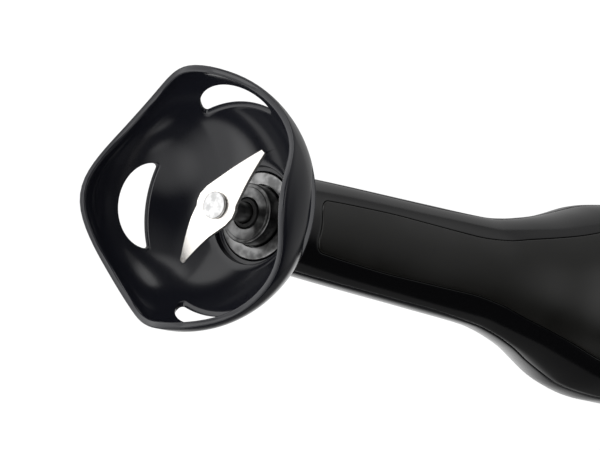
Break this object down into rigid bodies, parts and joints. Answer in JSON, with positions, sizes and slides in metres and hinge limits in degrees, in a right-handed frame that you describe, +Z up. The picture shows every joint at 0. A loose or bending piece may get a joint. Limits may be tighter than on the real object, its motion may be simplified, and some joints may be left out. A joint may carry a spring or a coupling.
{
  "type": "immersion blender",
  "caption": "Hand-held stick blender with a domed slotted blade guard, a slim neck, a motor handle, two press buttons and a speed dial.",
  "frame": {"origin": "centre of the bounding box's bottom, on the surface that the blender lies on with its back down", "axes": "+X along the drive axis from the guard's mouth to the speed dial, +Z up through the front panel and its buttons"},
  "size_m": [0.3837, 0.0708, 0.0708],
  "materials": {
    "black_gloss_plastic": "gloss black moulded plastic",
    "graphite_plastic": "gloss graphite moulded plastic",
    "soft_touch_panel": "satin soft-touch black inlay",
    "button_plastic": "satin charcoal plastic",
    "dark_plastic": "matt black plastic",
    "nylon": "natural nylon",
    "rubber": "matt black rubber",
    "steel": "turned steel",
    "blade_steel": "ground stainless steel",
    "bronze": "sintered bronze",
    "brass": "pressed brass",
    "copper": "enamelled copper",
    "aluminium": "cast aluminium",
    "lamination_steel": "stacked steel laminations",
    "carbon": "pressed carbon",
    "circuit_board": "green lacquered board",
    "capacitor": "blue film capacitor case"
  },
  "bodies": {
    "housing": {"guard": "black_gloss_plastic", "end_cap": "black_gloss_plastic", "front_shell": "black_gloss_plastic", "rear_shell": "graphite_plastic", "front_panel": "soft_touch_panel", "bearing_carrier": "dark_plastic", "power_switch": "dark_plastic", "turbo_switch": "dark_plastic", "terminal_block": "nylon", "shaft_seal": "rubber", "cord_gland": "rubber", "hub_ring": "steel", "bearing_cap": "steel", "shell_screw_1": "steel", "shell_screw_2": "steel", "shell_screw_3": "steel", "shell_screw_4": "steel", "speed_potentiometer": "steel", "power_button_spring": "steel", "turbo_button_spring": "steel", "lower_bearing": "bronze", "neck_bearing": "bronze", "motor_front_bearing": "bronze", "motor_rear_bearing": "bronze", "brush_holder_1": "brass", "brush_holder_2": "brass", "field_coil_1": "copper", "field_coil_2": "copper", "motor_front_bracket": "aluminium", "motor_rear_bracket": "aluminium", "stator_core": "lamination_steel", "carbon_brush_1": "carbon", "carbon_brush_2": "carbon", "circuit_board": "circuit_board", "suppressor_capacitor": "capacitor"},
    "rotor": {"blade": "blade_steel", "blade_rivet": "steel", "drive_shaft": "steel", "retaining_clip": "steel", "shaft_coupling": "nylon", "motor_coupling": "nylon", "motor_shaft": "steel", "cooling_fan": "nylon", "armature_core": "lamination_steel", "commutator": "copper"},
    "power_button": {"power_button": "button_plastic"},
    "turbo_button": {"turbo_button": "button_plastic"},
    "dial": {"speed_dial": "button_plastic", "dial_spindle": "steel"}
  },
  "joints": [
    {"name": "blade_spin", "type": "hinge", "parent": "housing", "child": "rotor", "pos_m": [-0.18725, 0, 0.0354], "axis": [1, 0, 0], "continuous": true},
    {"name": "power_button_press", "type": "slide", "parent": "housing", "child": "power_button", "axis": [0, 0, -1], "range_m": [0, 0.002], "stiffness_N_per_m": 600, "springref_m": -0.001, "deforming": ["power_button_spring"]},
    {"name": "turbo_button_press", "type": "slide", "parent": "housing", "child": "turbo_button", "axis": [0, 0, -1], "range_m": [0, 0.002], "stiffness_N_per_m": 600, "springref_m": -0.001, "deforming": ["turbo_button_spring"]},
    {"name": "speed_dial_turn", "type": "hinge", "parent": "housing", "child": "dial", "pos_m": [0.18375, 0, 0.0394], "axis": [1, 0, 0], "range_deg": [0, 270]}
  ]
}
